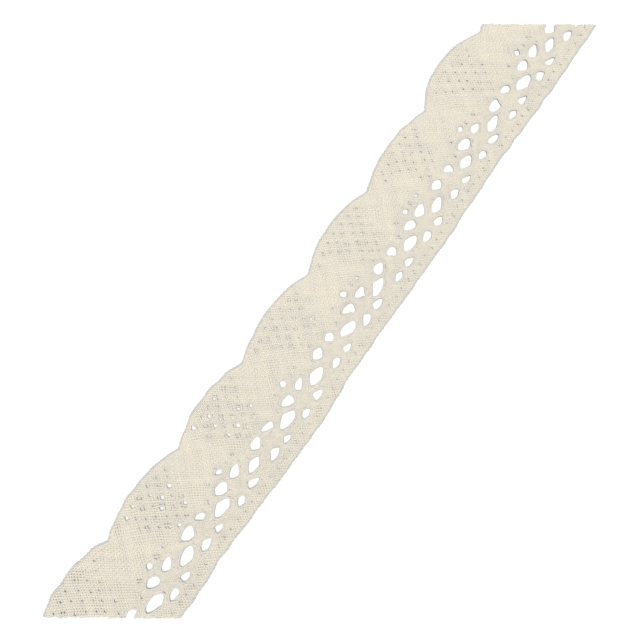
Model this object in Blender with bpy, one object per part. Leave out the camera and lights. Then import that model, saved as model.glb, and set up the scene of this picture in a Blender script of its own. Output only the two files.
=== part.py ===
"""A cut length of scalloped cotton lace trim, lying flat.

The strip runs along X with its straight footside towards -Y and its scalloped edge towards +Y. It is one
sheet, which rests on its flat underside at z = 0 and is cut through at the gaps of its openwork.
"""

import math
import random

import bmesh
import bpy

MM = 0.001

SHEET_THICKNESS = 1.2 * MM
EDGE_ROUNDING = 0.35 * MM
EDGE_SEGMENTS = 2

# One scallop to a row, in millimetres: where it starts along the strip, the height of the notch there and of
# the scallop's peak, and how far the footside strays from its line at the start and at the middle.
SCALLOPS = (
    # start, notch, peak, foot, foot_middle
    (-100.0, 23.2, 26.1, 0.1, 0.2),
    (-74.9, 23.1, 25.4, -0.1, 0.3),
    (-49.9, 22.5, 24.9, -0.2, -0.5),
    (-25.6, 22.2, 24.7, -0.7, 0.1),
    (0.2, 22.1, 24.9, 0.2, -0.1),
    (25.0, 22.3, 24.8, -0.2, 0.3),
    (50.0, 22.5, 26.6, 0.4, 0.1),
    (75.6, 22.8, 25.8, 0.0, 0.1),
    (101.0, 22.6, 25.0, 0.1, 0.1),
)
START, NOTCH, PEAK, FOOT, FOOT_MIDDLE = range(5)
SCALLOP_FULLNESS = 2.2
HEAD_STEPS = 12
FOOT_STEPS = 6

# The strip's two ends are cut on one slant.
CUT_ANGLE = math.radians(124.4)
NEAR_FOOT_CORNER = -79.2 * MM
FAR_FOOT_CORNER = 94.0 * MM

# One repeat of the openwork, in millimetres from the notch and the footside's line. A positive lean carries
# the top of a gap along the strip. The flat side of a gap is its upper one (1), its lower one (-1) or neither.
REPEAT_LENGTH = 25.0
GAPS = (
    # along, up, length, height, lean, flat side
    (3.2, 9.4, 3.2, 1.6, 0.3, 1),
    (10.8, 9.2, 3.2, 2.0, 0.3, 1),
    (15.5, 9.2, 2.2, 1.6, -0.4, 1),
    (23.3, 9.3, 3.3, 2.0, -0.1, 1),
    (6.7, 6.8, 4.5, 2.0, 0.5, 0),
    (19.7, 6.7, 4.6, 2.0, -0.2, 0),
    (3.4, 4.4, 2.7, 1.3, -0.3, -1),
    (11.3, 4.4, 3.0, 1.2, 0.2, -1),
    (16.0, 4.3, 2.5, 1.0, -0.2, -1),
    (23.6, 4.4, 2.7, 1.35, 0.2, -1),
    (0.7, 12.2, 1.3, 1.1, 0.0, 0),
)
GAP_POINTS = 14
GAP_POINTED = 0.25
GAP_FLATNESS = 0.2
GAP_FLARE = 0.2 * MM
GAP_SHIFT = 0.25
GAP_SIZE_SPREAD = 0.12
GAP_LEAN_SPREAD = 0.3
GAP_SEED = 7
CUT_GAP_MARGIN = 0.5 * MM
CUT_GAP_SHARE = 0.85
CUTTER_REACH = 1.0 * MM

COTTON = (0.80, 0.75, 0.61, 1.0)
COTTON_ROUGHNESS = 0.9


def clear_scene():
    for obj in list(bpy.data.objects):
        bpy.data.objects.remove(obj, do_unlink=True)


def scallop_at(x):
    """The row of SCALLOPS that x lies in, the next row, and how far x has come from one to the other."""
    last = len(SCALLOPS) - 2
    for number in range(last + 1):
        row, after = SCALLOPS[number], SCALLOPS[number + 1]
        if x <= after[START] * MM or number == last:
            return row, after, (x / MM - row[START]) / (after[START] - row[START])


def head_height(x):
    """The scalloped edge: a full, shallow arc between two notches."""
    row, after, share = scallop_at(x)
    chord = row[NOTCH] + (after[NOTCH] - row[NOTCH]) * share
    rise = row[PEAK] - (row[NOTCH] + after[NOTCH]) / 2
    return (chord + rise * (1 - abs(2 * share - 1) ** SCALLOP_FULLNESS)) * MM


def foot_height(x):
    """The footside: straight but for slow waves through the table's heights."""
    row, after, share = scallop_at(x)
    if share < 0.5:
        low, high, passed = row[FOOT], row[FOOT_MIDDLE], 2 * share
    else:
        low, high, passed = row[FOOT_MIDDLE], after[FOOT], 2 * share - 1
    eased = (1 - math.cos(math.pi * passed)) / 2
    return (low + (high - low) * eased) * MM


def cut_crossing(foot_corner):
    """Where the slanting cut from a footside corner meets the scalloped edge."""
    x = foot_corner
    for _ in range(20):
        x = foot_corner + (head_height(x) - foot_height(foot_corner)) / math.tan(CUT_ANGLE)
    return x


def edge_points(height, from_x, to_x, steps):
    """Points along an edge between the two cuts, with each notch and middle among them."""
    stations = [
        (row[START] + (after[START] - row[START]) * step / steps) * MM
        for row, after in zip(SCALLOPS, SCALLOPS[1:])
        for step in range(steps)
    ]
    gap = 0.5 * MM
    inside = [x for x in stations if from_x + gap < x < to_x - gap]
    return [(x, height(x)) for x in [from_x, *inside, to_x]]


def strip_outline():
    """The whole outline, anticlockwise from the near footside corner."""
    foot = edge_points(foot_height, NEAR_FOOT_CORNER, FAR_FOOT_CORNER, FOOT_STEPS)
    head = edge_points(
        head_height, cut_crossing(NEAR_FOOT_CORNER), cut_crossing(FAR_FOOT_CORNER), HEAD_STEPS
    )
    return foot + head[::-1]


def inside_cuts(x, y):
    """How far a point lies inside the nearer of the two cut ends."""
    normal_x, normal_y = math.sin(CUT_ANGLE), -math.cos(CUT_ANGLE)
    past_near = (x - NEAR_FOOT_CORNER) * normal_x + y * normal_y
    before_far = (FAR_FOOT_CORNER - x) * normal_x - y * normal_y
    return min(past_near, before_far)


def stays_beside_cuts(x, y, half_length, half_height):
    """True for a gap that is whole, or that a cut opens by a good part; a sliver at a cut end is left out."""
    reach = math.hypot(half_length * math.sin(CUT_ANGLE), half_height * math.cos(CUT_ANGLE))
    room = inside_cuts(x, y)
    return room > reach + CUT_GAP_MARGIN or 0 < room < CUT_GAP_SHARE * reach


def openwork_gaps():
    """(x, y, half length, reach up, reach down, lean) of every gap, as uneven as bobbin lace is."""
    chance = random.Random(GAP_SEED)
    gaps = []
    for row, after in zip(SCALLOPS, SCALLOPS[1:]):
        stretch = (after[START] - row[START]) / REPEAT_LENGTH
        for along, up, length, height, lean, flat_side in GAPS:
            x = (row[START] + along * stretch + chance.uniform(-GAP_SHIFT, GAP_SHIFT)) * MM
            y = (up + chance.uniform(-GAP_SHIFT, GAP_SHIFT) / 2) * MM + foot_height(x)
            size = 1 + chance.uniform(-GAP_SIZE_SPREAD, GAP_SIZE_SPREAD)
            lean += chance.uniform(-GAP_LEAN_SPREAD, GAP_LEAN_SPREAD)
            half_length, half_height = length * size * MM / 2, height * size * MM / 2
            if stays_beside_cuts(x, y, half_length, half_height):
                lift = GAP_FLATNESS * flat_side
                reach_up, reach_down = half_height * (1 - lift), half_height * (1 + lift)
                gaps.append((x, y + half_height * lift, half_length, reach_up, reach_down, lean))
    return gaps


def gap_outline(gap, widening):
    """A lens with soft points, leaning along the strip, and wider by widening all round."""
    x, y, half_length, reach_up, reach_down, lean = gap
    points = []
    for step in range(GAP_POINTS):
        turn = 2 * math.pi * step / GAP_POINTS
        across = math.sin(turn) * abs(math.sin(turn)) ** GAP_POINTED
        reach = reach_up if across > 0 else reach_down
        offset = across * (reach + widening)
        points.append((x + math.cos(turn) * (half_length + widening) + lean * offset, y + offset))
    return points


def add_ring(mesh, points, z):
    return [mesh.verts.new((x, y, z)) for x, y in points]


def join_rings(mesh, lower, upper):
    """Walls between two rings of the same number of points, both anticlockwise from above."""
    count = len(lower)
    for here in range(count):
        after = (here + 1) % count
        mesh.faces.new((lower[here], lower[after], upper[after], upper[here]))


def make_object(mesh, name):
    bmesh.ops.recalc_face_normals(mesh, faces=mesh.faces)
    data = bpy.data.meshes.new(name)
    mesh.to_mesh(data)
    mesh.free()
    obj = bpy.data.objects.new(name, data)
    bpy.context.scene.collection.objects.link(obj)
    return obj


def make_sheet():
    """The strip as a plain sheet, its top edge marked for rounding."""
    mesh = bmesh.new()
    outline = strip_outline()
    bottom = add_ring(mesh, outline, 0.0)
    top = add_ring(mesh, outline, SHEET_THICKNESS)
    mesh.faces.new(bottom[::-1])
    lid = mesh.faces.new(top)
    join_rings(mesh, bottom, top)
    weight = mesh.edges.layers.float.new("bevel_weight_edge")
    for edge in lid.edges:
        edge[weight] = 1.0
    return make_object(mesh, "lace_trim")


def make_gap_cutters(gaps):
    """One upright cutter for each gap, flared at the top so that the rim is rounded off."""
    mesh = bmesh.new()
    for gap in gaps:
        plain = gap_outline(gap, 0.0)
        flared = gap_outline(gap, GAP_FLARE)
        bottom = add_ring(mesh, plain, -CUTTER_REACH)
        shoulder = add_ring(mesh, plain, SHEET_THICKNESS - GAP_FLARE)
        rim = add_ring(mesh, flared, SHEET_THICKNESS)
        top = add_ring(mesh, flared, SHEET_THICKNESS + CUTTER_REACH)
        mesh.faces.new(bottom[::-1])
        mesh.faces.new(top)
        for lower, upper in ((bottom, shoulder), (shoulder, rim), (rim, top)):
            join_rings(mesh, lower, upper)
    cutters = make_object(mesh, "openwork_cutters")
    cutters.hide_render = True
    cutters.display_type = "WIRE"
    return cutters


def make_cotton():
    material = bpy.data.materials.new("cotton_lace")
    material.use_nodes = True
    shader = material.node_tree.nodes["Principled BSDF"]
    shader.inputs["Base Color"].default_value = COTTON
    shader.inputs["Roughness"].default_value = COTTON_ROUGHNESS
    return material


def centre_on_origin(objects, outline):
    """Moves the meshes so that the strip's box is centred on the origin."""
    xs, ys = zip(*outline)
    middle_x, middle_y = (min(xs) + max(xs)) / 2, (min(ys) + max(ys)) / 2
    for obj in objects:
        for vertex in obj.data.vertices:
            vertex.co.x -= middle_x
            vertex.co.y -= middle_y


def main():
    clear_scene()
    lace = make_sheet()
    cutters = make_gap_cutters(openwork_gaps())
    centre_on_origin((lace, cutters), strip_outline())
    lace.data.materials.append(make_cotton())

    rounding = lace.modifiers.new("rounded edge", "BEVEL")
    rounding.limit_method = "WEIGHT"
    rounding.width = EDGE_ROUNDING
    rounding.segments = EDGE_SEGMENTS

    openwork = lace.modifiers.new("openwork", "BOOLEAN")
    openwork.operation = "DIFFERENCE"
    openwork.solver = "EXACT"
    openwork.use_self = True
    openwork.object = cutters


main()
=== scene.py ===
import math
import random

import bpy
import numpy as np
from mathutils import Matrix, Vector


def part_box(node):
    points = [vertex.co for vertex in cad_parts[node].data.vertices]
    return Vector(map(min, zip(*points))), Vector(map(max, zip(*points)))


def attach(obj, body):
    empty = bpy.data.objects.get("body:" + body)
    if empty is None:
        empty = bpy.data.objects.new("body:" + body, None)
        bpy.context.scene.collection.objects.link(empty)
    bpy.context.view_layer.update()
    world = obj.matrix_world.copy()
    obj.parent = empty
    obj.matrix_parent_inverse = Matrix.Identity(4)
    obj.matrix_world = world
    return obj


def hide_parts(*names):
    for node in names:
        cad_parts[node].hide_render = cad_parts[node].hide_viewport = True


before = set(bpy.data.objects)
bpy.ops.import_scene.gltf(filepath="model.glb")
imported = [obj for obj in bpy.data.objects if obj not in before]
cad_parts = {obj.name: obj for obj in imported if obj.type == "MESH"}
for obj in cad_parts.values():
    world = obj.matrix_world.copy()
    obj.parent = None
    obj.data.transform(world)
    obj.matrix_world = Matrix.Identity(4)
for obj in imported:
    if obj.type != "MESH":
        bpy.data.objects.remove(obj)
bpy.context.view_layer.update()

# The lace
# One cut length of cotton edging: a dense scalloped head with fans of small pits, a band of openwork and
# a straight footside. Every thread slants up and down the strip, turns at the edges, and passes over and
# under those that slant the other way. Sizes are in millimetres, heights from the footside's line.

MM = 0.001
SCALLOPS = np.array([
    # A row for each notch and the scallop after it:
    # start, notch, peak, foot, foot_middle, openness of the fan's pits
    (-100.0, 23.2, 26.1, 0.1, 0.2, 0.35),
    (-74.9, 23.1, 25.4, -0.1, 0.3, 1.0),
    (-49.9, 22.5, 24.9, -0.2, -0.5, 1.0),
    (-25.6, 22.2, 24.7, -0.7, 0.1, 0.65),
    (0.2, 22.1, 24.9, 0.2, -0.1, 0.5),
    (25.0, 22.3, 24.8, -0.2, 0.3, 0.35),
    (50.0, 22.5, 26.6, 0.4, 0.1, 0.2),
    (75.6, 22.8, 25.8, 0.0, 0.1, 0.2),
    (101.0, 22.6, 25.0, 0.1, 0.1, 0.2),
])
START, NOTCH, PEAK, FOOT, FOOT_MIDDLE, OPENNESS = range(6)
SCALLOP_FULLNESS = 2.2
CUT_ANGLE = math.radians(124.4)
NEAR_FOOT_CORNER = -79.2
FAR_FOOT_CORNER = 94.0
REPEAT_LENGTH = 25.0

# The flat side of a gap is its upper one (1), its lower one (-1) or neither (0).
GAPS = (
    # along, up, length, height, lean, flat side
    (3.2, 9.4, 3.2, 1.6, 0.3, 1),
    (10.8, 9.2, 3.2, 2.0, 0.3, 1),
    (15.5, 9.2, 2.2, 1.6, -0.4, 1),
    (23.3, 9.3, 3.3, 2.0, -0.1, 1),
    (6.7, 6.8, 4.5, 2.0, 0.5, 0),
    (19.7, 6.7, 4.6, 2.0, -0.2, 0),
    (3.4, 4.4, 2.7, 1.3, -0.3, -1),
    (11.3, 4.4, 3.0, 1.2, 0.2, -1),
    (16.0, 4.3, 2.5, 1.0, -0.2, -1),
    (23.6, 4.4, 2.7, 1.35, 0.2, -1),
    (0.7, 12.2, 1.3, 1.1, 0.0, 0),
)
GAP_FLATNESS = 0.2
GAP_SHIFT = 0.25
GAP_SIZE_SPREAD = 0.12
GAP_LEAN_SPREAD = 0.3
GAP_SEED = 7
GAP_END_POWER = 1.6
GAP_LOW_SIDE_POWER = 2.4

# The fans of pits, placed by shares of a scallop's length, then the smaller eyelets and pits.
PIT_SEED = 5
PIT_THREADS = 4
FAN_MIDDLE = 0.53
FAN_LEAN = 0.05
FAN_FOOT_SPREAD = 0.12
FAN_SPREAD = 0.28
PIT_SIZE = 0.45
PIT_SHIFT = 0.3
SMALL_EYELETS = ((3.2, 12.2), (5.6, 12.1), (21.9, 12.2), (19.4, 9.6))
FOOT_PIT_SPACING = 2.4
FOOT_PIT_HEIGHT = 2.1
FOOT_PIT_LENGTH = 1.3

THREAD_RADIUS = 0.272
BAND_THREAD_RADIUS = 0.32
SLUB_RANGE = (0.9, 1.1)
SLUB_LENGTH = 2.5
SLUB_SEED = 31
LEAST_ROOM = 0.72
THREAD_STEP = REPEAT_LENGTH / 36
ROW = THREAD_STEP * 0.7
TOP_ROW = 52
HEAD_ROW = 26
EDGE_ROWS = 1.2
FOOT_MARGIN = 0.45
HEAD_MARGIN = 0.5
WEAVE_DEPTH = 0.22
RIB_SHARE = 0.3
RIB_WIDTH = 4.0
HEAD_START = 11.5
UNEVENNESS = 0.05
# Painted shade: threads are coloured greyer round the gaps and pits, fading over these reaches from their
# rims.
GAP_PAINTED_SHADE = 0.75
GAP_PAINTED_SHADE_REACH = 1.0
PIT_PAINTED_SHADE = 0.45
PIT_PAINTED_SHADE_REACH = 0.8

# Slow and quick strays of the net: the seed, the amount and the length of a wave.
STRAYS = ((3, 0.12, 9.0), (4, 0.09, 3.6))
STRAY_WAVES = 10

# The net runs on past both cuts, and each thread is worked out in fine points, some of which are kept.
FIRST_X = SCALLOPS[0, START] - 45
LAST_X = SCALLOPS[-1, START] + 15
FINE_POINTS = 8
SMOOTHINGS = 6
LONGEST_STEP = 0.42
CUT_MARGIN = 0.05


def scallop_share(x):
    """Which scallop each x lies in, and how far along it, from 0 to 1."""
    number = np.clip(np.searchsorted(SCALLOPS[:, START], x, side="left") - 1, 0, len(SCALLOPS) - 2)
    start, end = SCALLOPS[number, START], SCALLOPS[number + 1, START]
    return number, (x - start) / (end - start)


def head_height(x):
    """The scalloped edge: a full, shallow arc between two notches."""
    number, share = scallop_share(x)
    left, right = SCALLOPS[number, NOTCH], SCALLOPS[number + 1, NOTCH]
    rise = SCALLOPS[number, PEAK] - (left + right) / 2
    arc = 1 - np.abs(2 * np.clip(share, 0, 1) - 1) ** SCALLOP_FULLNESS
    return left + (right - left) * share + rise * arc


def foot_height(x):
    """The footside: straight but for slow waves."""
    number, share = scallop_share(x)
    second = share >= 0.5
    low = np.where(second, SCALLOPS[number, FOOT_MIDDLE], SCALLOPS[number, FOOT])
    high = np.where(second, SCALLOPS[number + 1, FOOT], SCALLOPS[number, FOOT_MIDDLE])
    passed = np.where(second, 2 * share - 1, 2 * share)
    return low + (high - low) * (1 - np.cos(np.pi * passed)) / 2


def inside_cuts(x, y):
    """How far a point lies inside the nearer of the two cut ends."""
    normal_x, normal_y = math.sin(CUT_ANGLE), -math.cos(CUT_ANGLE)
    past_near = (x - NEAR_FOOT_CORNER) * normal_x + y * normal_y
    before_far = (FAR_FOOT_CORNER - x) * normal_x - y * normal_y
    return np.minimum(past_near, before_far)


def lattice_height(row, x):
    """Where a row of crossings lies in the strip, whose head reaches up to the scalloped edge."""
    height = row * ROW
    low = foot_height(x) + FOOT_MARGIN
    top = head_height(x) - HEAD_MARGIN
    band = low + height * (HEAD_START - FOOT_MARGIN) / HEAD_START
    share = (height - HEAD_START) / (TOP_ROW * ROW - HEAD_START)
    head_low = low + HEAD_START - FOOT_MARGIN
    return np.where(height < HEAD_START, band, head_low + share * (top - head_low))


def notch_nearness(x):
    """1 below a notch, falling to 0 a few millimetres on either side of it."""
    away = np.abs(x[:, None] - SCALLOPS[None, :, START]).min(1)
    return np.exp(-((away / RIB_WIDTH) ** 2))


def openwork_gaps():
    """A row for each gap: x, y, half length, how far it reaches up and down, and its lean."""
    chance = random.Random(GAP_SEED)
    rows = []
    for row, after in zip(SCALLOPS, SCALLOPS[1:]):
        stretch = (after[START] - row[START]) / REPEAT_LENGTH
        for along, up, length, height, lean, flat_side in GAPS:
            x = row[START] + along * stretch + chance.uniform(-GAP_SHIFT, GAP_SHIFT)
            y = up + chance.uniform(-GAP_SHIFT, GAP_SHIFT) / 2 + float(foot_height(np.array(x)))
            size = 1 + chance.uniform(-GAP_SIZE_SPREAD, GAP_SIZE_SPREAD)
            lean += chance.uniform(-GAP_LEAN_SPREAD, GAP_LEAN_SPREAD)
            half = height * size / 2
            lifted = GAP_FLATNESS * flat_side
            rise, drop = half * (1 - lifted), half * (1 + lifted)
            rows.append((x, y + half * lifted, length * size / 2, rise, drop, lean))
    return rows


def small_pits():
    """The fans of pits in the head, the faint eyelets above the band and the footside's pits, as gaps."""
    chance = random.Random(PIT_SEED)
    rows = []
    first = int(FIRST_X / THREAD_STEP) // PIT_THREADS * PIT_THREADS - TOP_ROW
    last = int(LAST_X / THREAD_STEP)
    lowest = HEAD_ROW // PIT_THREADS * PIT_THREADS
    for up_line in range(first, last, PIT_THREADS):
        for down_line in range(up_line + lowest, up_line + TOP_ROW - 2, PIT_THREADS):
            x = (up_line + down_line + 1) / 2 * THREAD_STEP
            row = down_line - up_line
            number, share = scallop_share(np.array(x))
            risen = (row - HEAD_ROW) / (TOP_ROW - HEAD_ROW)
            middle = FAN_MIDDLE - FAN_LEAN * risen
            spread = (FAN_FOOT_SPREAD + FAN_SPREAD * risen) * chance.uniform(0.9, 1.08)
            wanted = chance.random()
            if not SCALLOPS[0, START] < x < SCALLOPS[-1, START] or abs(share - middle) > spread:
                continue
            size = PIT_SIZE * SCALLOPS[number, OPENNESS] * wanted
            y = float(lattice_height(np.array(row), np.array(x)))
            x += chance.uniform(-PIT_SHIFT, PIT_SHIFT)
            y += chance.uniform(-PIT_SHIFT, PIT_SHIFT)
            rows.append((x, y, size, size, size, 0.0))
    for start in SCALLOPS[:-1, START]:
        for along, up in SMALL_EYELETS:
            x = start + along + chance.uniform(-PIT_SHIFT, PIT_SHIFT)
            size = chance.uniform(0.05, 0.3)
            rows.append((x, float(foot_height(np.array(x))) + up, size, size, size, 0.0))
    first, last = (int(SCALLOPS[end, START] / FOOT_PIT_SPACING) for end in (0, -1))
    for place in range(first, last):
        x = place * FOOT_PIT_SPACING + chance.uniform(-0.2, 0.2)
        y = float(foot_height(np.array(x))) + FOOT_PIT_HEIGHT
        size = chance.uniform(0.0, 0.1)
        rows.append((x, y, size * FOOT_PIT_LENGTH, size, size, 0.0))
    return rows


def in_gap(offset, gap, margin):
    """An offset from a gap's middle in half lengths and half heights, and the half height on that side."""
    half_length, up, down, lean = gap[2:]
    high = np.where(offset[..., 1] > 0, up, down) + margin
    return (offset[..., 0] - lean * offset[..., 1]) / (half_length + margin), offset[..., 1] / high, high


def rim_distance(along, across, high, tallest):
    """1 on a gap's rim and in proportion inside and outside it. Its ends are pointed, a low side full."""
    distance = np.maximum(np.hypot(along, across), 1e-6)
    power = GAP_END_POWER + GAP_LOW_SIDE_POWER * (1 - high / tallest)
    for _ in range(4):
        distance = np.sqrt(along ** 2 + np.abs(across) ** power * distance ** (2 - power))
    return np.maximum(distance, 1e-6)


class DrawnCloth:
    """How the even net is drawn apart into gaps and pits, on a fine grid: where each point of it ends up,
    with the room that is left for a thread there, and the painted shade that greys threads beside the
    holes."""

    CELL = 0.2
    BOTTOM = -3.0
    TOP = 31
    STEPS = 10
    FALL = 0.9
    TIGHTEST = 0.25
    RIM = 0.05

    def __init__(self, holes, pits):
        xs = np.arange(FIRST_X, LAST_X + self.CELL, self.CELL)
        ys = np.arange(self.BOTTOM, self.TOP, self.CELL)
        self.net = np.stack(np.meshgrid(xs, ys, indexing="ij"), -1)
        self.place = self.net.copy()
        for step in range(self.STEPS):
            moves = np.zeros_like(self.place)
            for hole in holes:
                self.open(moves, hole, BAND_THREAD_RADIUS, step / self.STEPS)
            for hole in pits:
                self.open(moves, hole, THREAD_RADIUS, step / self.STEPS)
            self.place += moves
        along_x, along_y = np.gradient(self.place, self.CELL, axis=(0, 1))
        room = np.abs(along_x[..., 0] * along_y[..., 1] - along_x[..., 1] * along_y[..., 0])
        self.place = np.dstack([self.place, np.clip(room, self.TIGHTEST, 1) ** 0.5])
        self.painted_rim_shade = np.zeros((*self.net.shape[:2], 1))
        for hole in holes:
            self.paint_rim_shade(hole, GAP_PAINTED_SHADE, GAP_PAINTED_SHADE_REACH)
        for hole in pits:
            self.paint_rim_shade(hole, PIT_PAINTED_SHADE, PIT_PAINTED_SHADE_REACH)

    def around(self, hole, reach_along, reach_across):
        """The part of the grid that lies within reach of a hole."""
        i = int((hole[0] - FIRST_X) / self.CELL)
        j = int((hole[1] - self.BOTTOM) / self.CELL)
        di = int(reach_along / self.CELL) + 2
        dj = int(reach_across / self.CELL) + 2
        return slice(max(i - di, 0), i + di + 1), slice(max(j - dj, 0), j + dj + 1)

    def paint_rim_shade(self, hole, shade, reach):
        """Paints shade on the threads round a hole: greyest at its rim, fading away from it."""
        half_length, tallest = hole[2], max(hole[3:5])
        part = self.around(hole, half_length + 3 * reach, tallest + 3 * reach)
        offset = self.net[part] - hole[:2]
        along, across, high = in_gap(offset, hole, self.RIM)
        distance = np.maximum(rim_distance(along, across, high, tallest + self.RIM), 1)
        away = np.linalg.norm(offset, axis=-1) * (1 - 1 / distance)
        painted_rim_shade = self.painted_rim_shade[part][..., 0]
        painted_rim_shade[:] = np.maximum(painted_rim_shade, shade * np.exp(-((away / reach) ** 2)))

    def open(self, moves, hole, margin, opened):
        """One step of drawing the net away from a hole's middle."""
        x, y, half_length, up, down, lean = hole
        wide, tallest = half_length + margin, max(up, down) + margin
        part = self.around(hole, 3 * wide, 3 * tallest)
        along, across, high = in_gap(self.place[part] - (x, y), hole, margin)
        distance = rim_distance(along, across, high, tallest)
        beyond = np.maximum(distance - opened, 0)
        push = np.exp(-((beyond / self.FALL) ** 2)) / self.STEPS
        push = np.maximum(push, opened + 1 / self.STEPS - distance) / distance
        moves[part][..., 1] += across * push * high
        moves[part][..., 0] += along * push * wide + lean * across * push * high

    def sample(self, grid, points):
        """The values of a grid at points between its own."""
        x = (points[:, 0] - FIRST_X) / self.CELL
        y = (points[:, 1] - self.BOTTOM) / self.CELL
        i = np.clip(x.astype(int), 0, grid.shape[0] - 2)
        j = np.clip(y.astype(int), 0, grid.shape[1] - 2)
        u, v = (x - i)[:, None], (y - j)[:, None]
        return ((grid[i, j] * (1 - u) + grid[i + 1, j] * u) * (1 - v)
                + (grid[i, j + 1] * (1 - u) + grid[i + 1, j + 1] * u) * v)


def led_round(points, even, holes, margin):
    """Leads a thread round each gap on the side where its even path passes the middle, never across it."""
    for hole in holes:
        x, y, half_length, up, down, lean = hole
        wide, tallest = half_length + margin, max(up, down) + margin
        away_x, away_y = np.abs(even[:, 0] - x), np.abs(even[:, 1] - y)
        near = np.flatnonzero((away_x < 1.6 * wide) & (away_y < 1.6 * tallest))
        for part in np.split(near, np.flatnonzero(np.diff(near) > 1) + 1):
            if len(part) < 2:
                continue
            ends_along, ends_across, _ = in_gap(even[part[[0, -1]]] - (x, y), hole, margin)
            way = np.array([ends_along[1] - ends_along[0], ends_across[1] - ends_across[0]])
            way /= max(np.linalg.norm(way), 1e-6)
            side = 1.0 if ends_across[0] * way[0] - ends_along[0] * way[1] >= 0 else -1.0
            along, across, high = in_gap(points[part] - (x, y), hole, margin)
            passed = along * way[0] + across * way[1]
            beside = side * (across * way[0] - along * way[1])
            within = rim_distance(along, across, high, tallest) < 1
            caught = (np.abs(passed) < 1) & ((beside < 0) | within)
            passed, part = passed[caught], part[caught]
            beside = side * np.sqrt(1 - passed ** 2)
            along = passed * way[0] - beside * way[1]
            across = passed * way[1] + beside * way[0]
            high = np.where(across > 0, up, down) + margin
            out = 1 / rim_distance(along, across, high, tallest)
            points[part, 1] = y + across * out * high
            points[part, 0] = x + along * out * wide + lean * across * out * high
    return points


def wandering(points):
    """Smooth strays of a fraction of a millimetre, slow ones and quicker ones, the same for neighbours."""
    for seed, amount, length in STRAYS:
        chance = np.random.default_rng(seed)
        stray = np.zeros_like(points)
        for _ in range(STRAY_WAVES):
            direction = chance.normal(size=2)
            direction *= 2 * np.pi / (length * chance.uniform(0.7, 1.8) * np.linalg.norm(direction))
            stray += np.sin(points @ direction + chance.uniform(0, 6.3))[:, None] * chance.normal(size=2)
        points = points + stray * amount / STRAY_WAVES ** 0.5
    return points


def zigzag(line):
    """A thread on the even net: x, row, and 1 where it rises or -1 where it falls, finely sampled."""
    turns = math.ceil((LAST_X - FIRST_X) / THREAD_STEP / TOP_ROW) + 1
    passed = np.arange(2 * TOP_ROW * turns * FINE_POINTS + 1) / FINE_POINTS
    x = FIRST_X + (line - TOP_ROW + passed / 2) * THREAD_STEP
    turn = passed % (2 * TOP_ROW)
    row = np.where(turn < TOP_ROW, turn, 2 * TOP_ROW - turn)
    nearness = np.minimum(np.minimum(turn, 2 * TOP_ROW - turn), np.abs(turn - TOP_ROW))
    side = np.where(turn < TOP_ROW, 1, -1) * np.clip(nearness / EDGE_ROWS, 0, 1)
    return x, row, side


def smoothed(values, times=SMOOTHINGS):
    """Evens out a row of values from neighbour to neighbour."""
    for _ in range(times):
        values[1:-1] = (values[:-2] + 2 * values[1:-1] + values[2:]) / 4
    return values


def thread_routes():
    """Every thread as rows of x, y and z, its radius, and how much painted shade greys it there."""
    gaps = openwork_gaps()
    cloth = DrawnCloth(gaps, small_pits())
    chance = np.random.default_rng(SLUB_SEED)
    slub_places = np.arange(FIRST_X - 60, LAST_X + 60, SLUB_LENGTH)
    routes = []
    for line in range(TOP_ROW):
        x, row, side = zigzag(line)
        even = wandering(np.stack([x, lattice_height(row, x)], 1))
        drawn = smoothed(cloth.sample(cloth.place, even))
        flat = led_round(drawn[:, :2], even, gaps, BAND_THREAD_RADIUS)
        flat = led_round(smoothed(flat), even, gaps, BAND_THREAD_RADIUS)
        weave = WEAVE_DEPTH * side * np.cos(2 * np.pi * (x - FIRST_X) / THREAD_STEP)
        ribbed = RIB_SHARE * notch_nearness(x) * (row > HEAD_ROW)
        weave = weave * (1 - ribbed) + WEAVE_DEPTH * side * ribbed
        room = drawn[:, 2]
        slubs = np.interp(x, slub_places, chance.normal(1, UNEVENNESS, len(slub_places)))
        radius = THREAD_RADIUS * np.maximum(room, LEAST_ROOM) * slubs.clip(*SLUB_RANGE)
        routes.append(np.column_stack([flat, weave, radius, cloth.sample(cloth.painted_rim_shade, flat)]))
    return routes


def thinned(thread):
    """Keeps the crossings and the middles between them, and more points where a thread was drawn out."""
    keep = [0]
    half = FINE_POINTS // 2
    run = np.concatenate([[0], np.cumsum(np.linalg.norm(np.diff(thread[:, :2], axis=0), axis=1))])
    for first in range(0, len(thread) - half, half):
        count = max(1, math.ceil((run[first + half] - run[first]) / LONGEST_STEP))
        marks = run[first] + (run[first + half] - run[first]) * np.arange(1, count + 1) / count
        keep.extend(np.searchsorted(run, marks - 1e-9).clip(first + 1, first + half).tolist())
    return thread[np.unique(keep)]


def cut_off(thread):
    """The stretches of a thread that lie between the two cut ends."""
    inside = inside_cuts(thread[:, 0], thread[:, 1]) > CUT_MARGIN
    edges = np.flatnonzero(np.diff(inside.astype(int)))
    return [part for part in np.split(thread, edges + 1)
            if len(part) > 3 and inside_cuts(part[0, 0], part[0, 1]) > CUT_MARGIN]


sheet_low, sheet_high = (np.array(corner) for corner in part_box("lace_trim"))
STRIP_MIDDLE_Y = (SCALLOPS[:, PEAK].max() + SCALLOPS[:-1, FOOT].min()) / 2
FRAME_SHIFT = np.array([
    sheet_high[0] - FAR_FOOT_CORNER * MM,
    (sheet_low[1] + sheet_high[1]) / 2 - STRIP_MIDDLE_Y * MM,
    sheet_low[2] + (WEAVE_DEPTH + THREAD_RADIUS * SLUB_RANGE[1]) * MM,
])


def to_frame(points):
    """Millimetres in the strip to metres in the frame, lying on the sheet's underside."""
    return points * MM + FRAME_SHIFT


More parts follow.
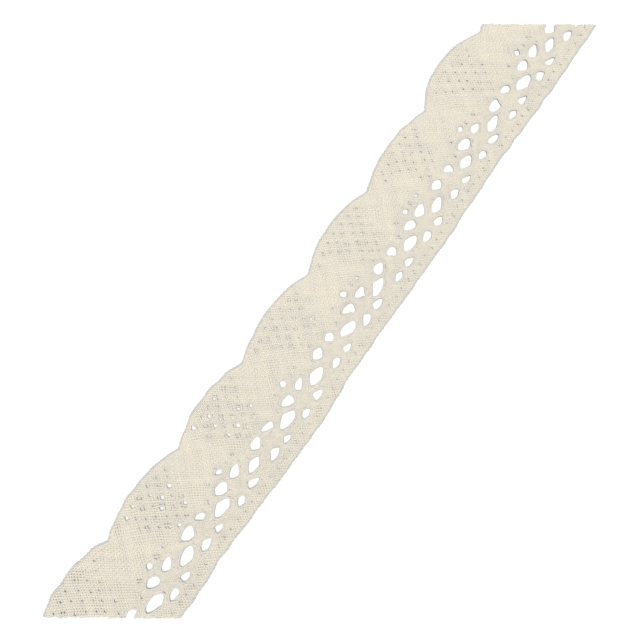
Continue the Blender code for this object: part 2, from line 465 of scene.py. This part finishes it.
class Value:
    """One number of a node tree, so that its maths reads as plain expressions."""

    def __init__(self, tree, socket):
        self.tree, self.socket = tree, socket

    def maths(self, operation, *numbers):
        return self.tree.add("ShaderNodeMath", {"operation": operation}, *numbers).value(0)

    def __add__(self, other):
        return self.maths("ADD", self, other)

    def __sub__(self, other):
        return self.maths("SUBTRACT", self, other)

    def __rsub__(self, other):
        return self.maths("SUBTRACT", other, self)

    def __mul__(self, other):
        return self.maths("MULTIPLY", self, other)

    def __truediv__(self, other):
        return self.maths("DIVIDE", self, other)

    __radd__, __rmul__ = __add__, __mul__

    def floor(self):
        return self.maths("FLOOR", self)

    def cosine(self):
        return self.maths("COSINE", self)

    def absolute(self):
        return self.maths("ABSOLUTE", self)


class Node:
    """A node with its outputs by name or place."""

    def __init__(self, tree, node):
        self.tree, self.node = tree, node

    def out(self, name):
        return self.node.outputs[name]

    def value(self, name):
        return Value(self.tree, self.node.outputs[name])


class Tree:
    """A node tree under construction."""

    def __init__(self, tree):
        self.nodes, self.links = tree.nodes, tree.links

    def add(self, kind, settings=None, *places, **names):
        """A node of this kind, with its settings, and values or links for its sockets by place and name."""
        node = self.nodes.new(kind)
        for name, value in (settings or {}).items():
            setattr(node, name, value)
        given = list(enumerate(places))
        given += [(name.replace("_", " "), value) for name, value in names.items()]
        for name, value in given:
            if isinstance(value, Value):
                value = value.socket
            if isinstance(value, bpy.types.NodeSocket):
                self.links.new(value, node.inputs[name])
            else:
                node.inputs[name].default_value = value
        return Node(self, node)


PLIES = 3
PLY_PITCH = 0.0014
RIDGE_DEPTH = 0.00008
STREAKS_ALONG = 1100
STREAKS_ROUND = 14
# The places of a colour mix's sockets, whose names are shared with those for other kinds of value.
MIX_FIRST, MIX_SECOND, MIX_RESULT = 6, 7, 2


def cotton_material(name, light, dark):
    """Matt cream cotton: three plies laid round each other, fibres along them, uneven colour and painted
    groove shade.
    """
    material = bpy.data.materials.new(name)
    material.use_nodes = True
    tree = Tree(material.node_tree)
    shader = Node(tree, material.node_tree.nodes["Principled BSDF"])
    place = tree.add("ShaderNodeUVMap", {"uv_map": "UVMap"})
    split = tree.add("ShaderNodeSeparateXYZ", None, place.out("UV"))
    along = split.value("X")
    twist = split.value("Y") - along / PLY_PITCH
    ply = (twist * (PLIES * math.pi)).cosine().absolute()
    # Painted shade: the grooves between the plies are coloured darker, multiplied towards a brownish grey.
    painted_groove_shade = (1 - ply) * (1 - ply)
    streak_at = tree.add("ShaderNodeCombineXYZ", None, along * STREAKS_ALONG, twist * STREAKS_ROUND, 0.0)
    fibres = tree.add("ShaderNodeTexNoise", {"noise_dimensions": "3D"},
                      Vector=streak_at.out(0), Scale=1.0, Detail=3.0).value("Fac")
    # The shade attribute is each thread's own tone plus the painted shade round the gaps and pits.
    shade = tree.add("ShaderNodeAttribute", {"attribute_type": "GEOMETRY", "attribute_name": "shade"})
    spot = tree.add("ShaderNodeTexCoord")
    patches = tree.add("ShaderNodeTexNoise", {"noise_dimensions": "3D"},
                       Vector=spot.out("Object"), Scale=120.0, Detail=3.0).value("Fac")
    darker = shade.value("Fac") * 0.45 + fibres * 0.5 + patches * 0.5 - 0.4
    colour = tree.add("ShaderNodeMix", {"data_type": "RGBA", "clamp_factor": True})
    tree.links.new(darker.socket, colour.node.inputs["Factor"])
    colour.node.inputs[MIX_FIRST].default_value = (*light, 1)
    colour.node.inputs[MIX_SECOND].default_value = (*dark, 1)
    groove_shaded_colour = tree.add("ShaderNodeMix", {"data_type": "RGBA", "blend_type": "MULTIPLY"})
    tree.links.new((painted_groove_shade * 0.7).socket, groove_shaded_colour.node.inputs["Factor"])
    tree.links.new(colour.node.outputs[MIX_RESULT], groove_shaded_colour.node.inputs[MIX_FIRST])
    groove_shaded_colour.node.inputs[MIX_SECOND].default_value = (0.72, 0.66, 0.58, 1)
    tree.links.new(groove_shaded_colour.node.outputs[MIX_RESULT], shader.node.inputs["Base Color"])
    relief = ply * 0.7 + fibres * 0.6
    bump = tree.add("ShaderNodeBump", None, Strength=1.0, Distance=RIDGE_DEPTH, Height=relief)
    tree.links.new(bump.out("Normal"), shader.node.inputs["Normal"])
    shader.node.inputs["Roughness"].default_value = 0.92
    shader.node.inputs["Specular IOR Level"].default_value = 0.2
    shader.node.inputs["Sheen Weight"].default_value = 0.15
    shader.node.inputs["Sheen Roughness"].default_value = 0.5
    return material


BAKE_END_MARGIN = 0.01
BAKE_ROW_MARGIN = 0.06


def yarn_tree():
    """Turns edges into round yarn of their own thickness, with a map along and round it and a bake map."""
    group = bpy.data.node_groups.new("spun_yarn", "GeometryNodeTree")
    for name, kind in (("Wires", "Geometry"), ("Sides", "Int"), ("Row run", "Float"), ("Rows", "Float"),
                       ("Finish", "Material")):
        group.interface.new_socket(name, in_out="INPUT", socket_type="NodeSocket" + kind)
    group.interface.new_socket("Yarn", in_out="OUTPUT", socket_type="NodeSocketGeometry")
    tree = Tree(group)
    given = tree.add("NodeGroupInput")
    curve = tree.add("GeometryNodeMeshToCurve", None, given.out("Wires"))
    thickness = tree.add("GeometryNodeInputNamedAttribute", {"data_type": "FLOAT"}, "thickness")
    ring = tree.add("GeometryNodeCurveArc", {"mode": "RADIUS"}, Resolution=given.value("Sides") + 1,
                    Radius=1.0, Start_Angle=0.0, Sweep_Angle=2 * math.pi)
    turn = tree.add("GeometryNodeSplineParameter")
    marked = tree.add("GeometryNodeStoreNamedAttribute", {"data_type": "FLOAT", "domain": "POINT"},
                      Geometry=ring.out(0), Name="around", Value=turn.out("Factor"))
    tube = tree.add("GeometryNodeCurveToMesh", None, Curve=curve.out(0), Profile_Curve=marked.out(0),
                    Scale=thickness.out(0))
    around = tree.add("GeometryNodeInputNamedAttribute", {"data_type": "FLOAT"}, "around").value(0)
    along = tree.add("GeometryNodeInputNamedAttribute", {"data_type": "FLOAT"}, "along").value(0)
    yarn_map = tree.add("ShaderNodeCombineXYZ", None, along, around)
    mapped = tree.add("GeometryNodeStoreNamedAttribute", {"data_type": "FLOAT2", "domain": "CORNER"},
                      Geometry=tube.out(0), Name="UVMap", Value=yarn_map.out(0))
    # The bake map lays the run out in even rows, one above the other.
    of_face = {"data_type": "FLOAT", "domain": "FACE"}
    on_face = tree.add("GeometryNodeFieldOnDomain", of_face, along).value(0)
    row = (on_face / given.value("Row run")).floor()
    bake_x = (along / given.value("Row run") - row) * (1 - 2 * BAKE_END_MARGIN) + BAKE_END_MARGIN
    across_row = around * (1 - 2 * BAKE_ROW_MARGIN) + BAKE_ROW_MARGIN
    bake_y = (row + across_row) / (given.value("Rows") + 1)
    bake_map = tree.add("ShaderNodeCombineXYZ", None, bake_x, bake_y)
    laid_out = tree.add("GeometryNodeStoreNamedAttribute", {"data_type": "FLOAT2", "domain": "CORNER"},
                        Geometry=mapped.out(0), Name="OFBake", Value=bake_map.out(0))
    welded = tree.add("GeometryNodeMergeByDistance", None, Geometry=laid_out.out(0), Distance=1e-6)
    smooth = tree.add("GeometryNodeSetShadeSmooth", None, welded.out(0))
    realised = tree.add("GeometryNodeRealizeInstances", None, smooth.out(0))
    finished = tree.add("GeometryNodeSetMaterial", None, Geometry=realised.out(0),
                        Material=given.out("Finish"))
    tree.add("NodeGroupOutput", None, finished.out(0))
    return group


TIP_SHARE = 0.12
TIP_RADIUS = 3e-4


def spun(name, threads, material, seed, sides=6, rows=50):
    """Threads cut at the strip's ends, each with its own tone and the painted shade round the holes, and
    made into one mesh of yarn.
    """
    chance = random.Random(seed)
    coords, edges, radii, along, tones_and_painted_shade = [], [], [], [], []
    run = 0.0
    for thread in threads:
        own_shade = chance.random()
        for part in cut_off(thread):
            # Each end gets a blunt tip.
            tips = part[[0, -1]] + (part[[0, -1]] - part[[1, -2]]) * TIP_SHARE
            tips[:, 3] = TIP_RADIUS
            part = np.concatenate([tips[:1], part, tips[1:]])
            points = to_frame(part[:, :3])
            steps = np.linalg.norm(np.diff(points, axis=0), axis=1)
            first = len(coords)
            coords.extend(points.tolist())
            radii.extend((part[:, 3] * MM).tolist())
            # Each point's shade is the thread's own tone plus the painted shade round the gaps and pits.
            tones_and_painted_shade.extend((own_shade + part[:, 4]).tolist())
            along.extend((run + np.concatenate([[0], np.cumsum(steps)])).tolist())
            edges.extend((k, k + 1) for k in range(first, first + len(points) - 1))
            run = along[-1]
    wires = bpy.data.meshes.new(name + "_wires")
    wires.from_pydata(coords, edges, [])
    for title, values in (("thickness", radii), ("along", along), ("shade", tones_and_painted_shade)):
        wires.attributes.new(title, "FLOAT", "POINT").data.foreach_set("value", values)
    wire = bpy.data.objects.new(name + "_wires", wires)
    bpy.context.scene.collection.objects.link(wire)
    modifier = wire.modifiers.new("yarn", "NODES")
    modifier.node_group = yarn
    given = {"Sides": sides, "Row run": run * 1.0001 / rows, "Rows": float(rows), "Finish": material}
    for socket in yarn.interface.items_tree:
        if socket.name in given:
            modifier[socket.identifier] = given[socket.name]
    mesh = bpy.data.meshes.new_from_object(wire.evaluated_get(bpy.context.evaluated_depsgraph_get()))
    mesh.name = name
    for title in ("thickness", "along", "around"):
        if title in mesh.attributes:
            mesh.attributes.remove(mesh.attributes[title])
    piece = bpy.data.objects.new(name, mesh)
    bpy.context.scene.collection.objects.link(piece)
    bpy.data.objects.remove(wire)
    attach(piece, "root")
    return piece


yarn = yarn_tree()
cotton = cotton_material("cotton_yarn", (0.87, 0.814, 0.69), (0.7, 0.68, 0.64))
routes = [thinned(thread) for thread in thread_routes()]
BUNDLES = 4
BUNDLE_SIZE = TOP_ROW // BUNDLES
FIRST_BUNDLE_SEED = 11
bundles = [
    spun("lace_threads_%d" % (number + 1), routes[number * BUNDLE_SIZE:(number + 1) * BUNDLE_SIZE],
         cotton, FIRST_BUNDLE_SEED + number)
    for number in range(BUNDLES)
]

# The two edge cords
# Firm cords of two thicker cotton plies, laid round each other. One follows the scallops and the other the
# straight footside, and the lace threads turn round them.

CORD_PLY_RADIUS = 0.19
CORD_PLY_OFFSET = 0.16
CORD_TWIST = 2.1
CORD_STEP = 0.22
CORD_INSET = 0.36


def cord_plies(height, inset):
    """Two plies wound round each other along an edge, in from it by inset."""
    x = np.arange(FIRST_X + 30, LAST_X - 10, 0.1)
    line = smoothed(np.stack([x, height(x)], 1))
    slope = np.gradient(line, axis=0)
    slope /= np.linalg.norm(slope, axis=1)[:, None]
    normal = np.stack([-slope[:, 1], slope[:, 0]], 1)
    line = wandering(line + normal * inset)
    run = np.concatenate([[0], np.cumsum(np.linalg.norm(np.diff(line, axis=0), axis=1))])
    marks = np.arange(0, run[-1], CORD_STEP)
    middle = np.stack([np.interp(marks, run, line[:, k]) for k in range(2)], 1)
    outward = np.stack([np.interp(marks, run, normal[:, k]) for k in range(2)], 1)
    plies = []
    for ply in range(2):
        angle = 2 * np.pi * marks / CORD_TWIST + ply * np.pi
        flat = middle + outward * (CORD_PLY_OFFSET * np.cos(angle))[:, None]
        radius = np.full(len(marks), CORD_PLY_RADIUS)
        plies.append(np.column_stack([flat, CORD_PLY_OFFSET * np.sin(angle), radius, np.zeros_like(marks)]))
    return plies


# The cords are coloured greyer and darker than the lace threads: painted shade for the dark outline along
# both edges.
cord_cotton_painted_shade = cotton_material("cord_cotton_painted_shade", (0.735, 0.72, 0.665), (0.635, 0.62, 0.58))
scallop_cord = spun("scallop_cord", cord_plies(head_height, -CORD_INSET), cord_cotton_painted_shade, 21, rows=8)
footside_cord = spun("footside_cord", cord_plies(foot_height, CORD_INSET), cord_cotton_painted_shade, 22, rows=8)

# Stray fibres
# Cotton is a little hairy: short, fine fibres stand out from the threads all over the lace.

FIBRE_COUNT = 2600
FIBRE_RADIUS = 0.009
FIBRE_STRIDE = 0.16
FIBRE_STEPS = 4
FIBRE_SEED = 51


def stray_fibres(threads):
    """Fine fibres of a few bent steps, each starting on a thread and rising a little."""
    chance = random.Random(FIBRE_SEED)
    fibres = []
    for _ in range(FIBRE_COUNT):
        x, y, z, radius, _ = chance.choice(chance.choice(threads))
        heading = chance.uniform(0, 2 * math.pi)
        stride = FIBRE_STRIDE * chance.uniform(0.5, 1.1)
        rows = []
        for _ in range(FIBRE_STEPS):
            rows.append((x, y, z + radius * 0.8, FIBRE_RADIUS, 0.0))
            heading += chance.uniform(-0.7, 0.7)
            x += stride * math.cos(heading)
            y += stride * math.sin(heading)
            z += stride * chance.uniform(0.0, 0.5)
        fibres.append(np.array(rows))
    return fibres


fibre_cotton = bpy.data.materials.new("fibre_cotton")
fibre_cotton.use_nodes = True
fibre_shader = fibre_cotton.node_tree.nodes["Principled BSDF"]
fibre_shader.inputs["Base Color"].default_value = (0.86, 0.82, 0.74, 1)
fibre_shader.inputs["Roughness"].default_value = 0.9
fibres = spun("stray_fibres", stray_fibres(routes), fibre_cotton, 23, sides=3, rows=20)

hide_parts("lace_trim")

# The table
# A plain, matt white table top under the lace. It runs on past the picture's edges in low views too.

TABLE_REACH = 12
floor_mesh = bpy.data.meshes.new("table_top")
corners = [(x * TABLE_REACH, y * TABLE_REACH, 0) for x, y in ((-1, -1), (1, -1), (1, 1), (-1, 1))]
floor_mesh.from_pydata(corners, [], [(0, 1, 2, 3)])
floor = bpy.data.objects.new("table_top", floor_mesh)
bpy.context.scene.collection.objects.link(floor)
table_white = bpy.data.materials.new("table_white")
table_white.use_nodes = True
table_shader = table_white.node_tree.nodes["Principled BSDF"]
table_shader.inputs["Base Color"].default_value = (0.9, 0.9, 0.9, 1)
table_shader.inputs["Roughness"].default_value = 0.9
floor_mesh.materials.append(table_white)

# The camera
# It looks down on the strip at about 74 degrees, and the strip runs up to the right.

REPEAT = REPEAT_LENGTH * MM
ELEVATION = math.radians(74.4)
TURN = math.radians(-55.3)
DISTANCE = 10.876 * REPEAT
PICTURE_WIDTH = 325 / 600
SENSOR_WIDTH = 36
SIDEWAYS = -7.5 * MM
AIM_ON_STRIP = np.array([-0.128, 0.288, 0.0]) * REPEAT_LENGTH
right = Vector((math.cos(TURN), math.sin(TURN), 0))
aim = Vector(to_frame(AIM_ON_STRIP)) + right * SIDEWAYS
ahead = Vector((-math.sin(TURN), math.cos(TURN), 0))
looking = ahead * math.cos(ELEVATION) - Vector((0, 0, math.sin(ELEVATION)))
camera_data = bpy.data.cameras.new("camera")
camera_data.sensor_width = SENSOR_WIDTH
camera_data.lens = SENSOR_WIDTH / PICTURE_WIDTH
camera_data.clip_start = 0.01
camera = bpy.data.objects.new("camera", camera_data)
camera.location = aim - looking * DISTANCE
camera.rotation_euler = looking.to_track_quat("-Z", "Y").to_euler()
bpy.context.scene.collection.objects.link(camera)
bpy.context.scene.camera = camera

# The light
# A white room that the camera sees as pure white but that lights only weakly, and one soft lamp a little
# higher than the camera and on its side, so that little shade falls in the pits.

ROOM_STRENGTH = 0.25
LAMP_STRENGTH = 2.93
LAMP_SPREAD = math.radians(22)
LAMP_ELEVATION = math.radians(76.5)
world = bpy.data.worlds.new("white_room")
world.use_nodes = True
world.node_tree.nodes.clear()
room = Tree(world.node_tree)
room_light = room.add("ShaderNodeBackground", Color=(1, 1, 1, 1), Strength=ROOM_STRENGTH)
room_seen = room.add("ShaderNodeBackground", Color=(1, 1, 1, 1), Strength=1)
light_path = room.add("ShaderNodeLightPath")
seen_or_light = room.add("ShaderNodeMixShader", None, light_path.out("Is Camera Ray"),
                         room_light.out("Background"), room_seen.out("Background"))
room.add("ShaderNodeOutputWorld", Surface=seen_or_light.out("Shader"))
bpy.context.scene.world = world
lamp_data = bpy.data.lights.new("soft_lamp", "SUN")
lamp_data.energy = LAMP_STRENGTH
lamp_data.angle = LAMP_SPREAD
lamp = bpy.data.objects.new("soft_lamp", lamp_data)
shining = ahead * math.cos(LAMP_ELEVATION) - Vector((0, 0, math.sin(LAMP_ELEVATION)))
lamp.rotation_euler = shining.to_track_quat("-Z", "Y").to_euler()
bpy.context.scene.collection.objects.link(lamp)
bpy.context.scene.view_settings.view_transform = "Standard"
